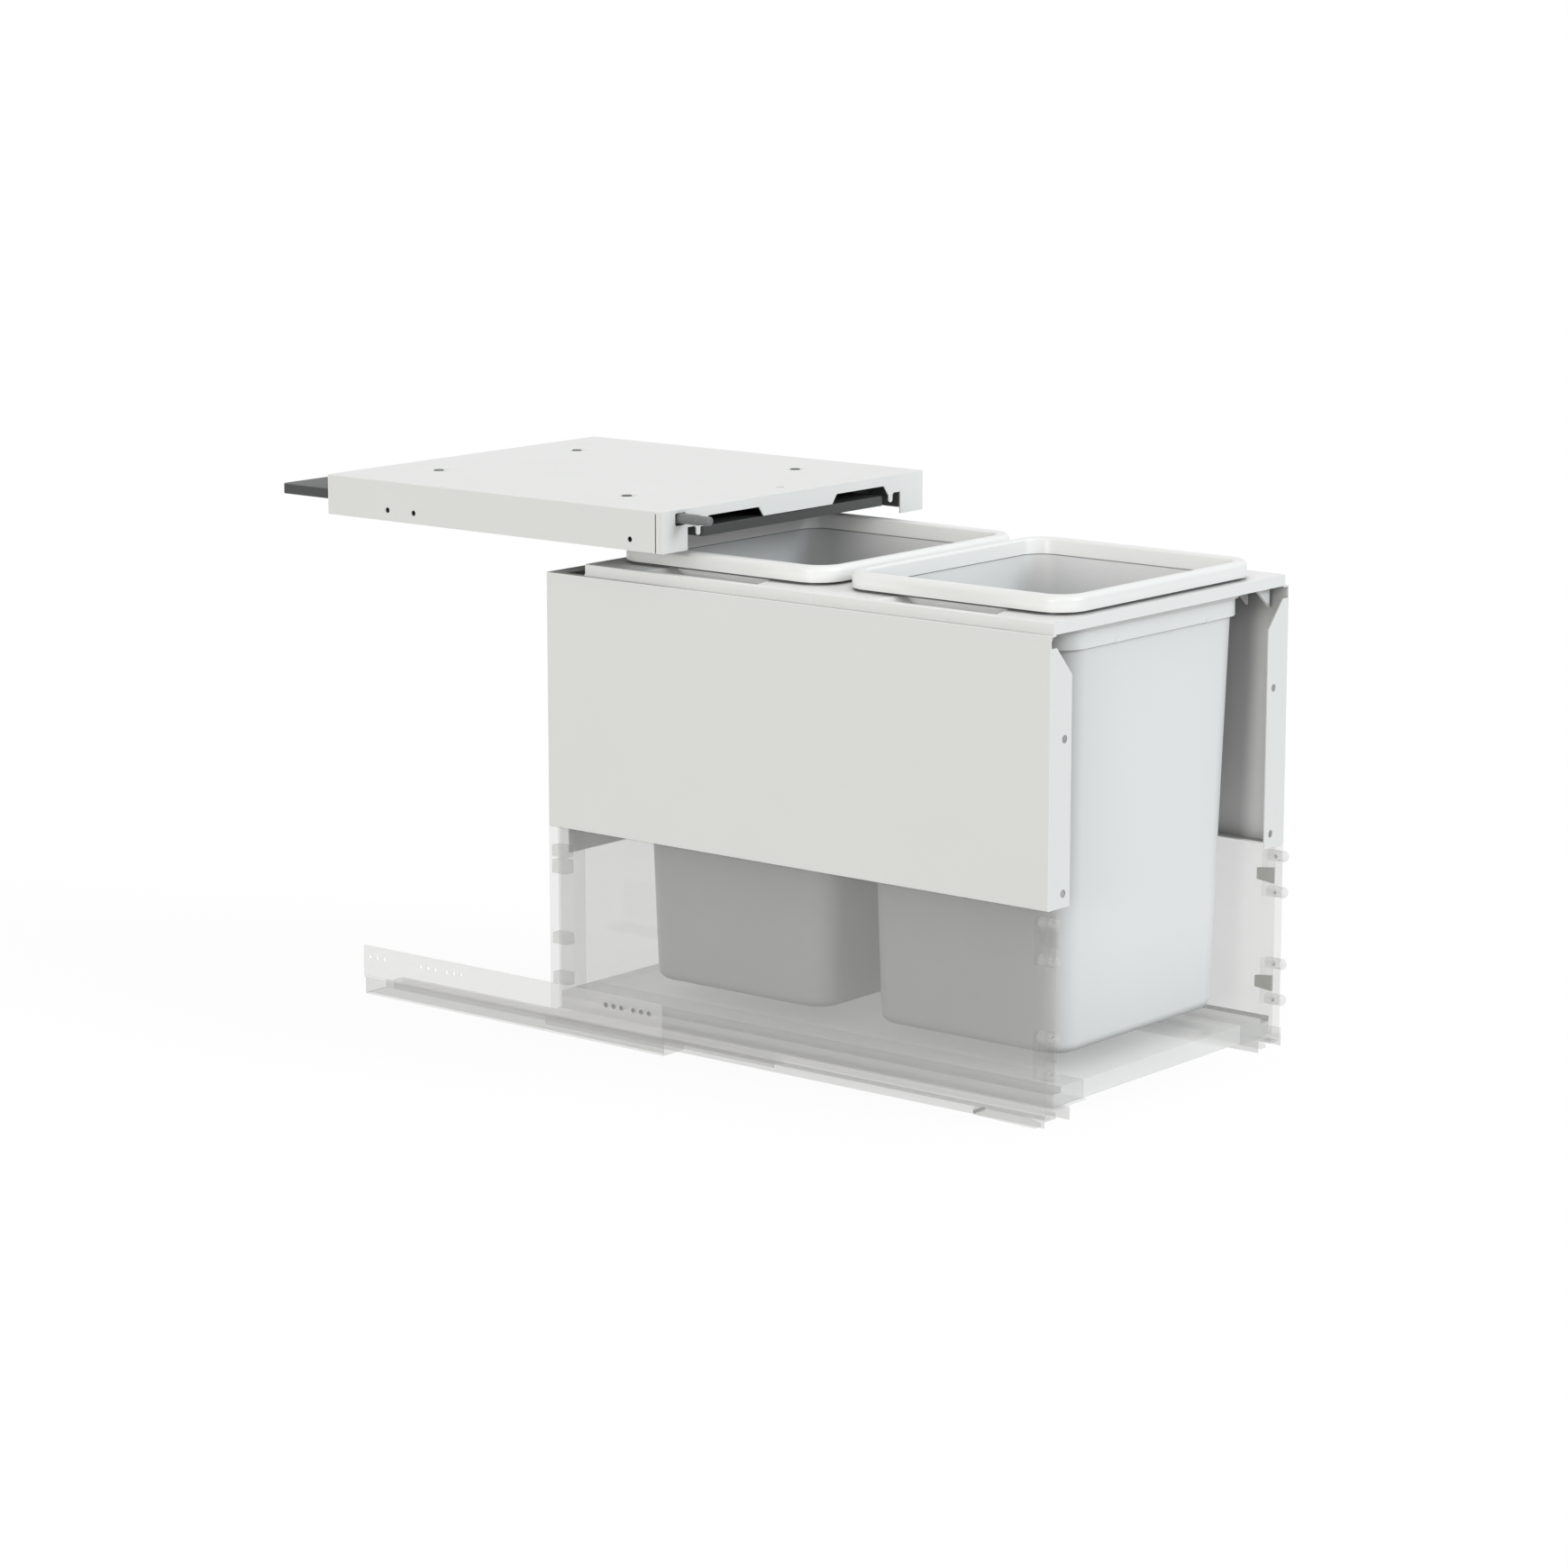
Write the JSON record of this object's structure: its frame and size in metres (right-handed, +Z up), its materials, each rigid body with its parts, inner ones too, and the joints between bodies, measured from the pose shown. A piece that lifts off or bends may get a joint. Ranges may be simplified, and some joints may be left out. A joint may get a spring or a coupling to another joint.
{
  "type": "pull-out waste bin unit for a kitchen cabinet",
  "caption": "Pull-out waste unit for a kitchen cabinet: runner drawer with raised white sides, lift-out bins and a fixed housing whose lid drops on the bins as the drawer closes.",
  "frame": {"origin": "in the plane of the cabinet's front edge, midway between the cabinet sides, at the height of the rail's row of screw holes", "axes": "+X to the right seen from the front, +Y into the cabinet, +Z up; the drawer is drawn out 403 mm along -Y"},
  "size_m": [0.3634, 0.8965, 0.4784],
  "materials": {
    "white_steel": "satin",
    "white_plastic": "satin",
    "bin_plastic": "satin",
    "rail_steel": "satin",
    "drawer_steel": "satin",
    "board": "satin",
    "bracket_metal": "satin",
    "dowel_plastic": "gloss",
    "clip_plastic": "matte",
    "fixing_steel": "satin",
    "roller_plastic": "gloss",
    "catch_plastic": "matte",
    "dark_steel": "satin",
    "dark_plastic": "matte",
    "lid_plastic": "matte",
    "grey_plastic": "satin",
    "spring_steel": "satin"
  },
  "bodies": {
    "root": {"cover_housing": "white_steel", "left_cabinet_rail": "rail_steel", "right_cabinet_rail": "rail_steel", "left_lid_guide": "dark_steel", "right_lid_guide": "dark_steel", "plunger_bush": "dark_plastic", "spring_stop": "dark_steel", "lid_return_spring": "spring_steel"},
    "plunger_slide": {"lid_plunger": "grey_plastic", "plunger_block": "dark_plastic", "left_slide_bar": "dark_plastic", "right_slide_bar": "dark_plastic", "slide_cross_bar": "dark_plastic", "spring_rod": "spring_steel"},
    "lid": {"lid_plate": "lid_plastic", "left_lid_hangers": "lid_plastic", "right_lid_hangers": "lid_plastic", "left_lid_pins": "spring_steel", "right_lid_pins": "spring_steel"},
    "middle_rails": {"left_middle_rail": "rail_steel", "right_middle_rail": "rail_steel", "left_roller_cage": "roller_plastic", "right_roller_cage": "roller_plastic", "left_runner_rollers": "roller_plastic", "right_runner_rollers": "roller_plastic"},
    "drawer": {"left_drawer_runner": "rail_steel", "right_drawer_runner": "rail_steel", "left_catch_pin": "fixing_steel", "right_catch_pin": "fixing_steel", "left_drawer_side": "drawer_steel", "right_drawer_side": "drawer_steel", "drawer_floor": "board", "drawer_back": "board", "left_back_bracket": "drawer_steel", "right_back_bracket": "drawer_steel", "left_back_clips": "clip_plastic", "right_back_clips": "clip_plastic", "left_front_brackets": "bracket_metal", "right_front_brackets": "bracket_metal", "left_bracket_hooks": "bracket_metal", "right_bracket_hooks": "bracket_metal", "left_front_dowels": "dowel_plastic", "right_front_dowels": "dowel_plastic", "left_bracket_screws": "fixing_steel", "right_bracket_screws": "fixing_steel", "left_raised_side": "white_steel", "right_raised_side": "white_steel", "raised_back_panel": "white_steel", "back_panel_screws": "fixing_steel", "front_bin_frame": "white_plastic", "rear_bin_frame": "white_plastic"},
    "front_bin_set": {"front_bin": "bin_plastic", "front_bag_ring": "white_plastic"},
    "rear_bin_set": {"rear_bin": "bin_plastic", "rear_bag_ring": "white_plastic"},
    "left_catch": {"left_release_catch": "catch_plastic"},
    "right_catch": {"right_release_catch": "catch_plastic"}
  },
  "joints": [
    {"name": "drawer_slide", "type": "slide", "parent": "root", "child": "drawer", "axis": [0, -1, 0], "range_m": [-0.403, 0.095]},
    {"name": "middle_slide", "type": "slide", "parent": "root", "child": "middle_rails", "axis": [0, -1, 0], "range_m": [-0.2015, 0.0475]},
    {"name": "lid_push", "type": "slide", "parent": "root", "child": "plunger_slide", "axis": [0, -1, 0], "range_m": [-0.034, 0], "stiffness_N_per_m": 500, "springref_m": 0.02, "deforming": ["lid_return_spring"]},
    {"name": "lid_drop", "type": "slide", "parent": "root", "child": "lid", "axis": [0, 0, 1], "range_m": [-0.0124, 0]},
    {"name": "front_bin_lift", "type": "slide", "parent": "drawer", "child": "front_bin_set", "axis": [0, 0, 1], "range_m": [0, 0.4]},
    {"name": "rear_bin_lift", "type": "slide", "parent": "drawer", "child": "rear_bin_set", "axis": [0, 0, 1], "range_m": [0, 0.01]},
    {"name": "left_catch_turn", "type": "hinge", "parent": "drawer", "child": "left_catch", "pos_m": [-0.167, -0.3315, -0.0291], "axis": [1, 0, 0], "range_deg": [0, 8], "stiffness_Nm_per_rad": 0.3, "springref_deg": -5.73},
    {"name": "right_catch_turn", "type": "hinge", "parent": "drawer", "child": "right_catch", "pos_m": [0.167, -0.3315, -0.0291], "axis": [1, 0, 0], "range_deg": [0, 8], "stiffness_Nm_per_rad": 0.3, "springref_deg": -5.73}
  ],
  "couplings": [
    {"joint": "middle_slide", "follows": "drawer_slide", "ratio": 0.5},
    {"joint": "lid_drop", "follows": "lid_push", "ratio": 0.36471}
  ]
}
